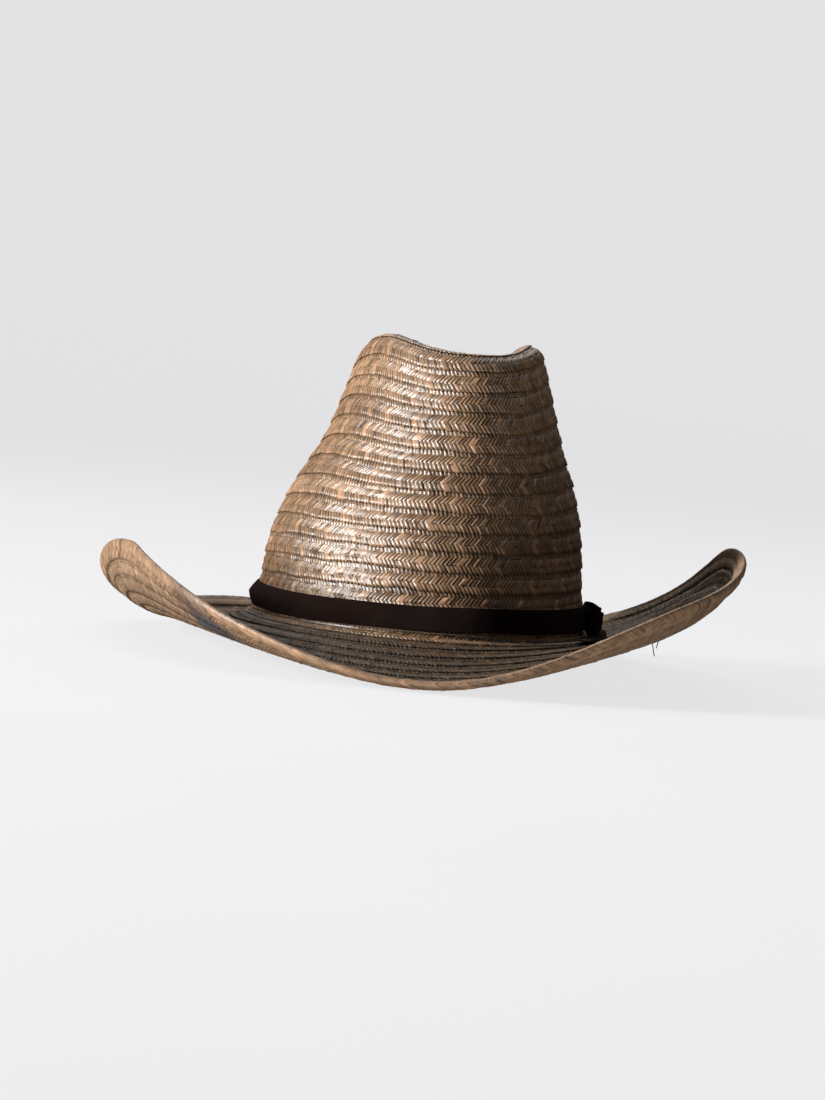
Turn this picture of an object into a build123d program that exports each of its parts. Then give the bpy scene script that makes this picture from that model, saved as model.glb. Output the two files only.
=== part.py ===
from build123d import *
import os
from functools import lru_cache
from math import cos, exp, pi, radians, sin, sqrt, tan

# A straw cowboy hat in millimetres. The wearer looks along -Y, so +X is the wearer's left.
# A direction round the hat is the angle beta of the head oval's outward normal, from +X.
# The hat stands on the troughs of its brim at the front and at the back.

FRONT = radians(-90)
BACK = radians(90)

# ---------------------------------------------------------------- driving dimensions
BRAID_THICKNESS = 2.0            # sewn straw braid
HEAD_HALF_WIDTH = 87.5           # head oval at the headline, outside of the crown
HEAD_HALF_LENGTH = 103.5
HEAD_CENTRE = Vector(0.6, 1.35, 19.07)   # centre of the head oval over the middle of the footprint

# Brim. Its width is measured along the surface. Its slope starts at START_SLOPE at the
# headline and turns up by TURN degrees on the way to the rim, most of it near the rim.
# Both are listed by clock position, seen from above with the front at 12.
BRIM_WIDTH = 100.0
BRIM_WIDER_RIGHT = 2.5
BRIM_WIDER_FRONT = 1.5
START_SLOPE = [-22.5, -22.0, -10.5, 4.0, 5.0, -9.5, -22.0, -22.5, -18.0, -18.5, -22.5, -23.5]
TURN = [44.0, 47.0, 60.0, 84.5, 61.5, 61.5, 42.0, 52.0, 90.0, 116.0, 67.0, 54.5]
CURL_POWER = 1.7
BRIM_INNER_EDGE = -0.03          # the brim reaches a little inside the headline
EDGE_BRAID_START = 0.905         # share of the brim's width where the rim row begins
EDGE_BRAID_THICKNESS = 3.0
EDGE_JOINT = 0.003               # gap before the rim row, as a share of the brim's width

# Crown. Heights are above the headline.
CROWN_HALF_WIDTHS = [(0, 87.5), (20, 84.3), (45, 81.2), (65, 75.9), (80, 69.6), (95, 62.5),
                     (115, 55.8), (135, 49.8), (150, 45.0), (165, 40.0)]
CROWN_FRONT_LENGTHS = [(0, 103.5), (45, 99.0), (80, 92.0), (115, 80.0), (150, 64.0), (165, 56.0)]
CROWN_BACK_LENGTHS = [(0, 103.5), (45, 99.5), (80, 94.5), (115, 88.0), (150, 79.0), (165, 74.0)]
CROWN_LEAN = -5.5                # the top sits this far to the wearer's right
LEAN_STARTS = 30.0
LEAN_ENDS = 105.0
RIDGE_HEIGHTS = [(-80, 121), (-50, 133), (0, 149), (30, 153), (60, 151.5), (85, 148)]
RIDGE_SPACINGS = [(-80, 14), (-50, 27), (0, 38), (40, 40), (85, 40)]
CREASE_DEPTHS = [(-85, 3), (-60, 14), (-20, 29), (20, 28), (55, 12), (80, 2.5), (90, 1.5)]
SHOULDER_ROUNDING = 9.0
PINCH_DEPTH = 13.0
PINCH_HEIGHT = 98.0
PINCH_TALL = 30.0
PINCH_FROM_FRONT = radians(38)
PINCH_WIDE = radians(20)

# Sweatband, inside the crown
SWEATBAND_THICKNESS = 1.2
SWEATBAND_BOTTOM = 3.2
SWEATBAND_TOP = 36.0
SEAM_TAPE_WIDTH = 14.0
SEAM_TAPE_THICKNESS = 0.6
SEAM_TAPE_GAP = 0.05             # between the tape and the sweatband
SEAM_TAPE_MARGIN = 1.0           # from the tape's ends to the seam and to the band's top edge
REED_RADIUS = 0.9
REED_DROP = 0.3                  # gap between the sweatband's lower edge and the reed
REED_INSET = 0.7                 # the reed's middle line stands this far inside the sweatband
INNER_GAP = 0.4                  # between the crown and the sweatband

# Ribbon band and bow. The ribbon slips up over the crown, so it stands clear of it.
RIBBON_THICKNESS = 0.9
RIBBON_CLEARANCE = 0.5
BAND_BOTTOM = 6.0
BAND_TOP = 18.6
BAND_LOWER_LEFT = 2.2            # the band hangs this much lower on the wearer's left
BOW_DIRECTION = radians(171)
BOW_STAND_OFF = 0.2              # between the ribbon band and the bow
LOOP_BOTTOM = 5.2
LOOP_TOP = 18.8
LOOP_LENGTH = 27.0
LOOP_DEPTH = 8.6
LOOP_SHIFT = 1.3
LOOP_TURN = radians(8)
KNOT_BOTTOM = 4.9
KNOT_TOP = 18.0
KNOT_WIDTH = 9.0
KNOT_DEPTH = 7.4
KNOT_ROUNDING = 3.0
TAIL_HEIGHT = 3.9
TAIL_WIDTH = 9.0
TAIL_LENGTH = 18.0
TAIL_SHIFT = 8.0
TAIL_OUT = 7.6
TAIL_TURN = 22.0

# Rim wire and threads
WIRE_RADIUS = 0.6
WIRE_TUNNEL_CLEARANCE = 0.1
WIRE_PLACE = 0.975               # share of the brim's width
JOINER_RADIUS = 1.05
JOINER_LENGTH = 16.0
JOINER_FIT = 0.03                # between the wire and the joiner's bore
THREAD_RADIUS = 0.25
THREAD_GAP = 0.08
HEADLINE_SEAM_HEIGHT = 3.4
HEADLINE_SEAM_SLACK = 0.4
EDGE_SEAM_PLACE = 0.925          # share of the brim's width
SWEATBAND_SEAM_HEIGHT = 5.0
# Thread ends under the right-hand wing: direction, share of the brim's width, length, sway
LOOSE_THREADS = [(158, 0.37, 9.0, -0.25), (161, 0.40, 6.5, 0.2)]

RING_POINTS = 24                 # points that each closed ring passes through
TUBE_STEP = 45                   # degrees between the rings round a tube
SLOPE_STEPS = 40                 # steps that add up the brim's profile
SMALL = 1e-3
CUTTER = 60.0                    # a cutting block's size, more than the rim or the sweatband is tall


# ---------------------------------------------------------------- plain shape rules
def by_clock(hours, beta):
    """Value at direction beta of a smooth closed curve through twelve clock positions."""
    hour = -(beta - FRONT) / radians(30)
    total = 0.0
    for position, value in enumerate(hours):
        turn = (hour - position) * pi / 6
        if abs(sin(turn / 2)) < 1e-9:
            return value
        total += value * sin(6 * turn) / (12 * tan(turn / 2))
    return total


def along(points, place):
    """Height at place of a smooth curve through (place, height) points."""
    if place <= points[0][0]:
        return points[0][1]
    if place >= points[-1][0]:
        return points[-1][1]
    i = max(k for k in range(len(points) - 1) if points[k][0] <= place)
    before = points[max(i - 1, 0)]
    start = points[i]
    end = points[i + 1]
    after = points[min(i + 2, len(points) - 1)]
    span = end[0] - start[0]
    share = (place - start[0]) / span
    start_rise = span * (end[1] - before[1]) / (end[0] - before[0])
    end_rise = span * (after[1] - start[1]) / (after[0] - start[0])
    square = share * share
    cube = square * share
    return ((2 * cube - 3 * square + 1) * start[1] + (cube - 2 * square + share) * start_rise
            + (3 * square - 2 * cube) * end[1] + (cube - square) * end_rise)


def smooth_step(low, high, value):
    """0 below low, 1 above high, and a soft change between."""
    share = min(max((value - low) / (high - low), 0.0), 1.0)
    return share * share * (3 - 2 * share)


def oval_point(half_x, half_y, beta):
    """Point of an ellipse where its outward normal has direction beta."""
    size = sqrt((half_x * cos(beta)) ** 2 + (half_y * sin(beta)) ** 2)
    return half_x * half_x * cos(beta) / size, half_y * half_y * sin(beta) / size


# ---------------------------------------------------------------- brim surface
def brim_width(beta):
    return BRIM_WIDTH - BRIM_WIDER_RIGHT * cos(beta) - BRIM_WIDER_FRONT * sin(beta)


def brim_slope(beta, share):
    curl = max(share, 0.0) ** CURL_POWER
    return radians(by_clock(START_SLOPE, beta) + by_clock(TURN, beta) * curl)


@lru_cache(maxsize=None)
def brim_point(beta, share, lift=0.0):
    """Point a share of the way from headline to rim, lifted off the brim's middle surface."""
    start = radians(by_clock(START_SLOPE, beta))
    turn = radians(by_clock(TURN, beta))
    reach = 0.0
    rise = 0.0
    for step in range(SLOPE_STEPS):
        slope = start + turn * max(share * (step + 0.5) / SLOPE_STEPS, 0.0) ** CURL_POWER
        reach += cos(slope)
        rise += sin(slope)
    length = brim_width(beta) * share / SLOPE_STEPS
    slope = brim_slope(beta, share)
    reach = reach * length - lift * sin(slope)
    rise = rise * length + lift * cos(slope)
    x, y = oval_point(HEAD_HALF_WIDTH, HEAD_HALF_LENGTH, beta)
    return HEAD_CENTRE + Vector(x + reach * cos(beta), y + reach * sin(beta), rise)


# ---------------------------------------------------------------- crown surface
def lean(height):
    return CROWN_LEAN * smooth_step(LEAN_STARTS, LEAN_ENDS, height)


def pinch(beta, height):
    """How far the two front dents press the wall in."""
    tall = exp(-((height - PINCH_HEIGHT) / PINCH_TALL) ** 2)
    depth = 0.0
    for side in (-1, 1):
        away = (beta - FRONT - side * PINCH_FROM_FRONT + pi) % (2 * pi) - pi
        depth += PINCH_DEPTH * tall * exp(-(away / PINCH_WIDE) ** 2)
    return depth


def wall_point(beta, height, inset=0.0):
    """Point on the crown's outside wall, moved inwards by inset."""
    lengths = CROWN_BACK_LENGTHS if sin(beta) > 0 else CROWN_FRONT_LENGTHS
    x, y = oval_point(along(CROWN_HALF_WIDTHS, height), along(lengths, height), beta)
    inset += pinch(beta, height)
    return HEAD_CENTRE + Vector(x + lean(height) - inset * cos(beta), y - inset * sin(beta), height)


def roof_height(point):
    """Height of the crown's roof, with its two ridges and the crease between them."""
    x = point.X - HEAD_CENTRE.X - CROWN_LEAN
    y = point.Y - HEAD_CENTRE.Y
    from_middle = min(abs(x) / along(RIDGE_SPACINGS, y), 1.0)
    crease = along(CREASE_DEPTHS, y) * (0.5 + 0.5 * cos(pi * from_middle))
    return HEAD_CENTRE.Z + along(RIDGE_HEIGHTS, y) - crease


@lru_cache(maxsize=None)
def shoulder_height(beta):
    """Height above the headline where wall and roof meet."""
    height = along(RIDGE_HEIGHTS, 0)
    for _ in range(12):
        height = roof_height(wall_point(beta, height)) - HEAD_CENTRE.Z
    return height


ROOF_CENTRE = HEAD_CENTRE + Vector(CROWN_LEAN, 0, 0)
WALL_SHARE = 0.6                 # share of a crown line that is wall
ROUND_SHARE = 0.7                # the rounded shoulder ends here and the roof begins
CROWN_SEAT = BRAID_THICKNESS / 2 + 0.25   # the crown's lower edge sits on the brim


def crown_point(beta, share):
    """Point a share of the way from the headline to the middle of the roof."""
    top = shoulder_height(beta)
    foot = brim_point(beta, 0, CROWN_SEAT).Z - HEAD_CENTRE.Z
    corner = wall_point(beta, top)
    radius = (corner - ROOF_CENTRE - Vector(0, 0, top)).length
    wall_top = top - SHOULDER_ROUNDING
    roof_start = 1 - SHOULDER_ROUNDING / radius
    if share <= WALL_SHARE:
        return wall_point(beta, foot + (wall_top - foot) * share / WALL_SHARE)
    if share <= ROUND_SHARE:
        t = (share - WALL_SHARE) / (ROUND_SHARE - WALL_SHARE)
        wall_end = wall_point(beta, wall_top)
        return (wall_end * (1 - t) ** 2 + corner * (2 * t * (1 - t))
                + roof_point(corner, roof_start) * t ** 2)
    return roof_point(corner, roof_start * (1 - share) / (1 - ROUND_SHARE))


def roof_point(corner, share):
    """Point of the roof a share of the way from its middle to the corner."""
    x = ROOF_CENTRE.X + (corner.X - ROOF_CENTRE.X) * share
    y = ROOF_CENTRE.Y + (corner.Y - ROOF_CENTRE.Y) * share
    return Vector(x, y, roof_height(Vector(x, y, 0)))


@lru_cache(maxsize=None)
def crown_inner_point(beta, share, depth):
    """Point under the crown's surface by depth, square to it."""
    around = crown_point(beta + SMALL, share) - crown_point(beta - SMALL, share)
    upwards = crown_point(beta, share + SMALL) - crown_point(beta, share - SMALL)
    return crown_point(beta, share) - around.cross(upwards).normalized() * depth


# ---------------------------------------------------------------- closed skins made of rings
def ring(point_at):
    """Closed smooth wire through point_at(beta) all the way round."""
    points = [point_at(2 * pi * k / RING_POINTS) for k in range(RING_POINTS)]
    return Wire([Edge.make_spline(points, periodic=True)])


def skinned(*skins):
    """Solid closed by skins, each a smooth or a ruled shell through a list of rings."""
    faces = []
    for rings in skins:
        faces += Shell.make_loft(rings, ruled=len(rings) == 2).faces()
    return Solid(Shell(faces))


def wall_band(bottom, top, outer_inset, thickness, lower_left=0.0):
    """Band that follows the crown's wall between two heights, and may hang lower on the left."""
    def ring_at(height, inset):
        return ring(lambda beta: wall_point(
            beta, height - lower_left * smooth_step(-1, 1, cos(beta)), inset))
    heights = [bottom, (bottom + top) / 2, top]
    outer = [ring_at(height, outer_inset) for height in heights]
    inner = [ring_at(height, outer_inset + thickness) for height in heights]
    return skinned(outer, [outer[-1], inner[-1]], inner[::-1], [inner[0], outer[0]])


def ring_tube(centre_at, radius):
    """Round tube whose middle line is the closed curve centre_at(beta)."""
    def rim(angle):
        def point(beta):
            return (centre_at(beta) + normal_at(beta) * (radius * cos(angle))
                    + Vector(0, 0, radius * sin(angle)))
        return ring(point)
    rings = [rim(radians(TUBE_STEP * k)) for k in range(int(360 / TUBE_STEP))]
    half = len(rings) // 2
    return skinned(rings[:half + 1], rings[half:] + rings[:1])


def normal_at(beta):
    return Vector(cos(beta), sin(beta), 0)


# ---------------------------------------------------------------- crown
CROWN_STATIONS = [0, 0.07, 0.17, 0.28, 0.39, 0.5, 0.6, 0.65, 0.7, 0.77, 0.84, 0.91, 0.97]


def crown_shell():
    outer = [ring(lambda beta, s=s: crown_point(beta, s)) for s in CROWN_STATIONS]
    inner = [ring(lambda beta: brim_point(beta, -BRAID_THICKNESS / BRIM_WIDTH, CROWN_SEAT))]
    inner += [ring(lambda beta, s=s: crown_inner_point(beta, s, BRAID_THICKNESS))
              for s in CROWN_STATIONS[1:]]
    middle = roof_point(ROOF_CENTRE, 0)
    outer_tip = [outer[-1], Vertex(*middle)]
    inner_tip = [inner[-1], Vertex(*(middle - Vector(0, 0, BRAID_THICKNESS)))]
    return skinned(outer, outer_tip, [inner[0], outer[0]], inner, inner_tip)


with BuildPart() as crown:
    add(crown_shell())
crown.part.label = "crown"


# ---------------------------------------------------------------- brim
def brim_layer(start, end, thickness, steps):
    """Flat braid between two shares of the brim's width."""
    shares = [start + (end - start) * k / steps for k in range(steps + 1)]
    top = [ring(lambda beta, s=s: brim_point(beta, s, thickness / 2)) for s in shares]
    under = [ring(lambda beta, s=s: brim_point(beta, s, -thickness / 2)) for s in shares]
    return skinned(top, [top[-1], under[-1]], under[::-1], [under[0], top[0]])


with BuildPart() as brim:
    add(brim_layer(BRIM_INNER_EDGE, EDGE_BRAID_START - EDGE_JOINT, BRAID_THICKNESS, 7))
brim.part.label = "brim"


# ---------------------------------------------------------------- rim row, wire and joiner
def rim_row():
    """Braid folded round the rim: flat at its inner side, round at the rim."""
    half = EDGE_BRAID_THICKNESS / 2
    section = [(EDGE_BRAID_START, 0.75), (0.94, 0.95), (0.975, 1.0), (0.995, 0.65), (1.0, 0.0)]
    top = [ring(lambda beta, s=s, h=h: brim_point(beta, s, half * h)) for s, h in section]
    under = [ring(lambda beta, s=s, h=h: brim_point(beta, s, -half * h)) for s, h in section[:-1]]
    under.append(top[-1])
    return skinned(top, under[::-1], [under[0], top[0]])


def wire_ring(radius):
    """Round ring inside the rim row."""
    def around(angle):
        lift = radius * sin(angle)
        aside = radius * cos(angle) / BRIM_WIDTH
        return ring(lambda beta: brim_point(beta, WIRE_PLACE + aside, lift))
    rings = [around(radians(TUBE_STEP * k)) for k in range(int(360 / TUBE_STEP))]
    half = len(rings) // 2
    return skinned(rings[:half + 1], rings[half:] + rings[:1])


def joiner_blank(radius):
    """The stretch of a wire ring at the back that the joiner covers."""
    back = brim_point(BACK, WIRE_PLACE)
    return wire_ring(radius) & (Pos(*back) * Box(JOINER_LENGTH, CUTTER, CUTTER))


rim_wire = wire_ring(WIRE_RADIUS)
tunnel = wire_ring(WIRE_RADIUS + WIRE_TUNNEL_CLEARANCE)
joiner_body = joiner_blank(JOINER_RADIUS)
joiner_pocket = joiner_blank(JOINER_RADIUS + WIRE_TUNNEL_CLEARANCE)

with BuildPart() as brim_edge_braid:
    add(rim_row())
    add(tunnel, mode=Mode.SUBTRACT)
    add(joiner_pocket, mode=Mode.SUBTRACT)
brim_edge_braid.part.label = "brim_edge_braid"

with BuildPart() as brim_wire:
    add(rim_wire)
brim_wire.part.label = "brim_wire"

with BuildPart() as wire_joiner:
    add(joiner_body)
    add(wire_ring(WIRE_RADIUS + JOINER_FIT), mode=Mode.SUBTRACT)
wire_joiner.part.label = "wire_joiner"

# ---------------------------------------------------------------- sweatband
SWEATBAND_OUTSIDE = BRAID_THICKNESS + INNER_GAP
SWEATBAND_INSIDE = SWEATBAND_OUTSIDE + SWEATBAND_THICKNESS
REED_HEIGHT = SWEATBAND_BOTTOM - REED_RADIUS - REED_DROP
TAPE_BOTTOM = SWEATBAND_SEAM_HEIGHT + SEAM_TAPE_MARGIN
TAPE_TOP = SWEATBAND_TOP - SEAM_TAPE_MARGIN

with BuildPart() as sweatband:
    add(wall_band(SWEATBAND_BOTTOM, SWEATBAND_TOP, SWEATBAND_OUTSIDE, SWEATBAND_THICKNESS))
sweatband.part.label = "sweatband"

with BuildPart() as sweatband_reed:
    add(ring_tube(
        lambda beta: wall_point(beta, REED_HEIGHT, SWEATBAND_INSIDE + REED_INSET), REED_RADIUS))
sweatband_reed.part.label = "sweatband_reed"

tape_middle = wall_point(BACK, (SWEATBAND_BOTTOM + SWEATBAND_TOP) / 2)
with BuildPart() as sweatband_seam_tape:
    add(wall_band(TAPE_BOTTOM, TAPE_TOP, SWEATBAND_INSIDE + SEAM_TAPE_GAP, SEAM_TAPE_THICKNESS))
    with Locations(tape_middle):
        Box(SEAM_TAPE_WIDTH, CUTTER, CUTTER, mode=Mode.INTERSECT)
sweatband_seam_tape.part.label = "sweatband_seam_tape"

# ---------------------------------------------------------------- seams, each one long thread
def thread_ring(point_at):
    return ring_tube(point_at, THREAD_RADIUS)


THREAD_LIFT = THREAD_RADIUS + THREAD_GAP

with BuildPart() as headline_stitches:
    add(thread_ring(
        lambda beta: wall_point(beta, HEADLINE_SEAM_HEIGHT, -THREAD_LIFT - HEADLINE_SEAM_SLACK)))
headline_stitches.part.label = "headline_stitches"

with BuildPart() as edge_stitches:
    add(thread_ring(
        lambda beta: brim_point(beta, EDGE_SEAM_PLACE, EDGE_BRAID_THICKNESS / 2 + THREAD_LIFT)))
edge_stitches.part.label = "edge_stitches"

with BuildPart() as sweatband_stitches:
    add(thread_ring(
        lambda beta: wall_point(beta, SWEATBAND_SEAM_HEIGHT, SWEATBAND_INSIDE + THREAD_LIFT)))
sweatband_stitches.part.label = "sweatband_stitches"

# ---------------------------------------------------------------- ribbon band
with BuildPart() as hatband:
    add(wall_band(BAND_BOTTOM, BAND_TOP, -RIBBON_CLEARANCE - RIBBON_THICKNESS, RIBBON_THICKNESS,
                  BAND_LOWER_LEFT))
hatband.part.label = "hatband"

# ---------------------------------------------------------------- bow
def bow_plane(direction):
    """Plan of the bow at the band's outside: x runs towards the back, y points outwards."""
    outwards = normal_at(direction)
    origin = wall_point(direction, BAND_BOTTOM, -RIBBON_CLEARANCE - RIBBON_THICKNESS - BOW_STAND_OFF)
    origin.Z = HEAD_CENTRE.Z
    return Plane(origin, x_dir=outwards.cross(Vector(0, 0, 1)), z_dir=Vector(0, 0, 1))


def ribbon_loop(label, side):
    """Flat ribbon loop that follows the oval a little way round from the knot."""
    plan = bow_plane(BOW_DIRECTION - side * LOOP_TURN)
    with BuildPart() as loop:
        with BuildSketch(plan.offset(LOOP_BOTTOM)):
            with Locations((side * LOOP_SHIFT, LOOP_DEPTH / 2)):
                Ellipse(LOOP_LENGTH / 2, LOOP_DEPTH / 2)
                Ellipse(LOOP_LENGTH / 2 - RIBBON_THICKNESS, LOOP_DEPTH / 2 - RIBBON_THICKNESS,
                        mode=Mode.SUBTRACT)
        extrude(amount=LOOP_TOP - LOOP_BOTTOM)
    loop.part.label = label
    return loop


bow_loop_rear = ribbon_loop("bow_loop_rear", 1)
bow_loop_front = ribbon_loop("bow_loop_front", -1)

with BuildPart() as bow_knot:
    with BuildSketch(bow_plane(BOW_DIRECTION).offset(KNOT_BOTTOM)):
        with Locations((0, KNOT_DEPTH / 2)):
            RectangleRounded(KNOT_WIDTH, KNOT_DEPTH, KNOT_ROUNDING)
    extrude(amount=KNOT_TOP - KNOT_BOTTOM)
bow_knot.part.label = "bow_knot"

with BuildPart() as bow_tails:
    with BuildSketch(bow_plane(BOW_DIRECTION).offset(TAIL_HEIGHT)):
        for side in (-1, 1):
            with Locations(Location((side * TAIL_SHIFT, TAIL_OUT), side * TAIL_TURN)):
                Rectangle(TAIL_LENGTH, TAIL_WIDTH)
                with Locations((side * TAIL_LENGTH / 2, 0)):
                    RegularPolygon(TAIL_WIDTH / 2, 4, mode=Mode.SUBTRACT)
    extrude(amount=RIBBON_THICKNESS)
bow_tails.part.label = "bow_tails"

# ---------------------------------------------------------------- loose thread ends
with BuildPart() as loose_threads:
    for direction, place, length, sway in LOOSE_THREADS:
        top = brim_point(radians(direction), place, -BRAID_THICKNESS / 2 - THREAD_GAP - THREAD_RADIUS)
        with Locations(Plane(top, z_dir=(sway, 0, -1))):
            Cylinder(THREAD_RADIUS, length, align=(Align.CENTER, Align.CENTER, Align.MIN))
loose_threads.part.label = "loose_threads"

# ---------------------------------------------------------------- files
os.makedirs("parts", exist_ok=True)
for piece in (crown, brim, brim_edge_braid, brim_wire, wire_joiner, headline_stitches, edge_stitches,
              sweatband, sweatband_reed, sweatband_seam_tape, sweatband_stitches,
              hatband, bow_loop_front, bow_loop_rear, bow_knot, bow_tails, loose_threads):
    export_step(piece.part, f"parts/{piece.part.label}.step")
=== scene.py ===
import math

import bpy
import numpy as np
from mathutils import Matrix, Vector


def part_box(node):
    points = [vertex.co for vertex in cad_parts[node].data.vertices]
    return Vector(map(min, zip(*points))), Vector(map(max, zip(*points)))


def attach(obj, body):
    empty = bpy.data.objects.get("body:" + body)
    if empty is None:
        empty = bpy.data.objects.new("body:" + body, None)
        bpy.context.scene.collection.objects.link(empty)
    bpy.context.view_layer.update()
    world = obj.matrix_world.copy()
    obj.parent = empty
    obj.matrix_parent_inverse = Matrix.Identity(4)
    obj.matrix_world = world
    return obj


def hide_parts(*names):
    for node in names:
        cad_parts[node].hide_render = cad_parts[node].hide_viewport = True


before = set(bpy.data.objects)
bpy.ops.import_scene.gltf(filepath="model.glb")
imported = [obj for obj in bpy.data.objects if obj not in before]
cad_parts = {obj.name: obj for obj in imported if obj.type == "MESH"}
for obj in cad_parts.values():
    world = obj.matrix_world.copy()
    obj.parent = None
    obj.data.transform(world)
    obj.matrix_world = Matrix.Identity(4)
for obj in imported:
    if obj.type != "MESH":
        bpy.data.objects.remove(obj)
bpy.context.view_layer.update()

# The hat's looks: sewn straw braid, ribbon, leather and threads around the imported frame.
# Shapes are worked out in millimetres and turned into metres when a mesh is made.
# A direction round the hat is the angle beta of the head oval's outward normal, from +X.
# The wearer looks along -Y, so the back is at 90 degrees and the wearer's right at 180.

MM = 0.001
FRONT = math.radians(-90)
BACK = math.radians(90)

# ---------------------------------------------------------------- driving dimensions, as in the CAD
HEAD_HALF_WIDTH = 87.5
HEAD_HALF_LENGTH = 103.5
HEADLINE_SEAM_HEIGHT = 3.4
BRIM_WIDTH = 100.0
BRIM_WIDER_RIGHT = 2.5
BRIM_WIDER_FRONT = 1.5
START_SLOPE = [-22.5, -22.0, -10.5, 4.0, 5.0, -9.5, -22.0, -22.5, -18.0, -18.5, -22.5, -23.5]
TURN = [44.0, 47.0, 60.0, 84.5, 61.5, 61.5, 42.0, 52.0, 90.0, 116.0, 67.0, 54.5]
CURL_POWER = 1.7
EDGE_BRAID_START = 0.905
CROWN_HALF_WIDTHS = [(0, 87.5), (20, 84.3), (45, 81.2), (65, 75.9), (80, 69.6), (95, 62.5),
                     (115, 55.8), (135, 49.8), (150, 45.0), (165, 40.0)]
CROWN_FRONT_LENGTHS = [(0, 103.5), (45, 99.0), (80, 92.0), (115, 80.0), (150, 64.0), (165, 56.0)]
CROWN_BACK_LENGTHS = [(0, 103.5), (45, 99.5), (80, 94.5), (115, 88.0), (150, 79.0), (165, 74.0)]
CROWN_LEAN = -5.5
LEAN_STARTS = 30.0
LEAN_ENDS = 105.0
RIDGE_HEIGHTS = [(-80, 121), (-50, 133), (0, 149), (30, 153), (60, 151.5), (85, 148)]
RIDGE_SPACINGS = [(-80, 14), (-50, 27), (0, 38), (40, 40), (85, 40)]
CREASE_DEPTHS = [(-85, 3), (-60, 14), (-20, 29), (20, 28), (55, 12), (80, 2.5), (90, 1.5)]
SHOULDER_ROUNDING = 9.0
PINCH_DEPTH = 13.0
PINCH_HEIGHT = 98.0
PINCH_TALL = 30.0
PINCH_FROM_FRONT = math.radians(38)
PINCH_WIDE = math.radians(20)

seam_low, seam_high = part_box("headline_stitches")
HEAD_CENTRE = np.array((seam_low + seam_high) / 2) / MM - np.array([0, 0, HEADLINE_SEAM_HEIGHT])

# ---------------------------------------------------------------- braid
ROW = 10.5                       # pitch of the sewn rows
STRAND = 2.15                    # pitch of the straws along a row
COLUMNS = 3                      # points along each straw's pitch: its gap, its crest and its far side
UNEVEN = 0.3                     # the gaps between the straws wander by this share of a straw
OVERLAP = 0.2                    # share of a row hidden under the row above it
BRAID_HALF = 0.42                # half the thickness of one braid
TILT = 0.5                       # the free edge stands out and the tucked edge in by this much
RELIEF = 0.62                    # height of a straw over the gap beside it
SCALLOP = 0.06                   # straws reach this share of a row past the gaps at the free edge
EDGE_WANDER = 0.035              # the free edge wanders by this share of a row
LIFT_WANDER = 0.15               # and lifts by this much
WANDER_EVERY = 14.0              # distance along the strip from one wander to the next
TOP_SHADE_EASING = 0.6                # the painted shade on the brim's top lifts by this share towards the rim
TONE_DRIFTS_EVERY = 25           # straws over which the tone drifts a little
TONE_BATCH = 130                 # straws of one batch, which differ in tone from the next
RIM_RELIEF = 0.45                # height of a straw in the rim's row over the gap beside it
RIM_SLANT = 3.0                  # straws that one slant shifts along the rim
RIM_WOBBLE = 0.003               # the rim wobbles by this share of the brim's width

# Rows, counted outwards from the middle of the roof, or from the headline on the brim.
BRIM_ROWS = 9
ROOF_ROWS = 3.5
ROOF_CLOSING = 0.03              # the first row crosses the roof's middle by this share of a row
SHOULDER_ROWS = 1.4
WALL_ROWS = 13.4
CROWN_ROWS = ROOF_ROWS + SHOULDER_ROWS + WALL_ROWS
STRIP_BEGINS = 0.92              # the strip's tapered start and end, in rows
STRIP_ENDS = 0.12
WALL_FOOT = 1.2                  # height at which the crown's wall ends
FLARE = 0.32                     # the crown's last row laps this share of a row on the brim
FLARE_LIFT = 0.9                 # lift of that lap off the brim's middle surface
CROWN_INSET = 0.7                # the braid's free edges end at the CAD crown's outside
BRIM_TUCK = 0.3                  # the brim's first row reaches this share of a row inside

# Across a row, from its tucked edge to its free edge: place and height of the straws there.
TOP_STATIONS = [(0.0, 0.35), (0.14, 0.7), (0.24, 0.95), (0.345, 0.85), (0.38, 0.45), (0.41, 0.95),
                (0.54, 1.05), (0.67, 0.9), (0.70, 0.45), (0.73, 0.95), (0.88, 1.05), (1.0, 0.8)]
CROSSINGS = (0.38, 0.70)         # places where the straws turn and dive under each other
PIT_SHARE = 0.2                  # share of the crossings that are open pits
# The straws zigzag across the row and change places at each crossing: place across the row
# and shift along it, in straws.
ZIGZAG = [(0.0, 0.0), (0.365, 1.3), (0.395, 0.85), (0.685, -0.35), (0.715, 0.1), (1.0, 1.15)]


# ---------------------------------------------------------------- plain shape rules
def by_clock(hours, beta):
    """Value at each direction of a smooth closed curve through twelve clock positions."""
    hour = -(np.asarray(beta)[..., None] - FRONT) / math.radians(30)
    turn = (hour - np.arange(12)) * math.pi / 6
    at_place = np.abs(np.sin(turn / 2)) < 1e-7
    safe = np.where(at_place, 1.0, turn)
    weight = np.where(at_place, 1.0, np.sin(6 * safe) / (12 * np.tan(safe / 2)))
    return weight @ np.array(hours)


def along(points, place):
    """Height at each place of a smooth curve through (place, height) points."""
    x, y = (np.array(values, float) for values in zip(*points))
    rise = np.gradient(y, x)
    rise[1:-1] = (y[2:] - y[:-2]) / (x[2:] - x[:-2])
    rise[0] = (y[1] - y[0]) / (x[1] - x[0])
    rise[-1] = (y[-1] - y[-2]) / (x[-1] - x[-2])
    place = np.clip(place, x[0], x[-1])
    before = np.clip(np.searchsorted(x, place, side="right") - 1, 0, len(x) - 2)
    after = before + 1
    span = x[after] - x[before]
    share = (place - x[before]) / span
    square = share * share
    cube = square * share
    return ((2 * cube - 3 * square + 1) * y[before] + (cube - 2 * square + share) * span * rise[before]
            + (3 * square - 2 * cube) * y[after] + (cube - square) * span * rise[after])


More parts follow.
